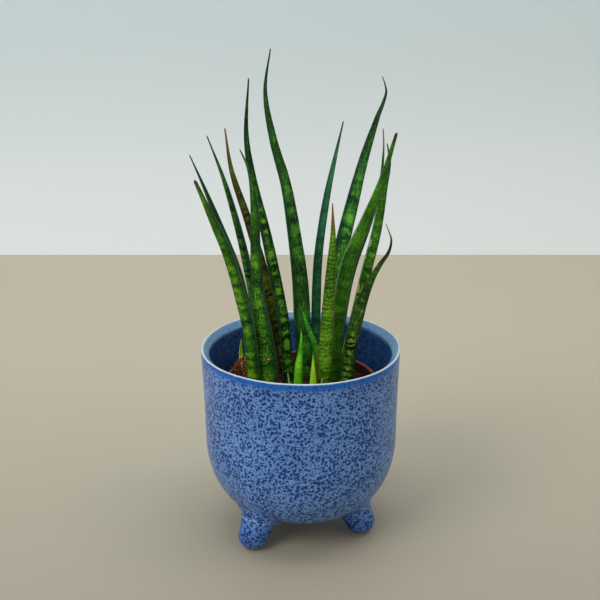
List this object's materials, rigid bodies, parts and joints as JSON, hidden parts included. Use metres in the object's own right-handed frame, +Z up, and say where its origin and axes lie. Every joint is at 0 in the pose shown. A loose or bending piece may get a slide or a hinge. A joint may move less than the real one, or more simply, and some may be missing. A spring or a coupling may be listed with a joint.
{
  "type": "potted snake plant",
  "caption": "Snake plant with narrow, channelled, cross-banded leaves in a thin nursery pot, inside a speckled blue glazed cover pot on stubby feet.",
  "frame": {"origin": "on the table under the middle of the cover pot, at the bottom of the whole object", "axes": "+Z up, -Y towards the side the plant is usually seen from, +X to the right seen from that side"},
  "size_m": [0.1375, 0.135, 0.3302],
  "materials": {
    "glaze": "blue glaze with fine dark navy speckles, satin to glossy",
    "brown_plastic": "thin terracotta-brown plastic, matt",
    "fibre": "moist fibrous potting mix",
    "leaf_green": "waxy dark green with lighter cross-bands",
    "shoot_green": "waxy bright yellow-green"
  },
  "bodies": {
    "root": {"ceramic_pot": "glaze", "nursery_pot": "brown_plastic", "potting_mix": "fibre", "leaf_left_outer": "leaf_green", "leaf_left_front": "leaf_green", "leaf_left_middle": "leaf_green", "leaf_left_olive": "leaf_green", "leaf_front_broad": "leaf_green", "leaf_tall_left": "leaf_green", "leaf_tallest": "leaf_green", "leaf_back_narrow": "leaf_green", "leaf_front_short": "leaf_green", "leaf_right_leaning": "leaf_green", "leaf_right_tall": "leaf_green", "leaf_right_back": "leaf_green", "leaf_right_middle": "leaf_green", "leaf_right_low": "leaf_green", "shoot_left": "shoot_green", "shoot_middle": "shoot_green", "shoot_yellow": "shoot_green", "shoot_leaning": "shoot_green", "shoot_blade_left": "shoot_green", "shoot_blade_right": "shoot_green"}
  },
  "joints": []
}
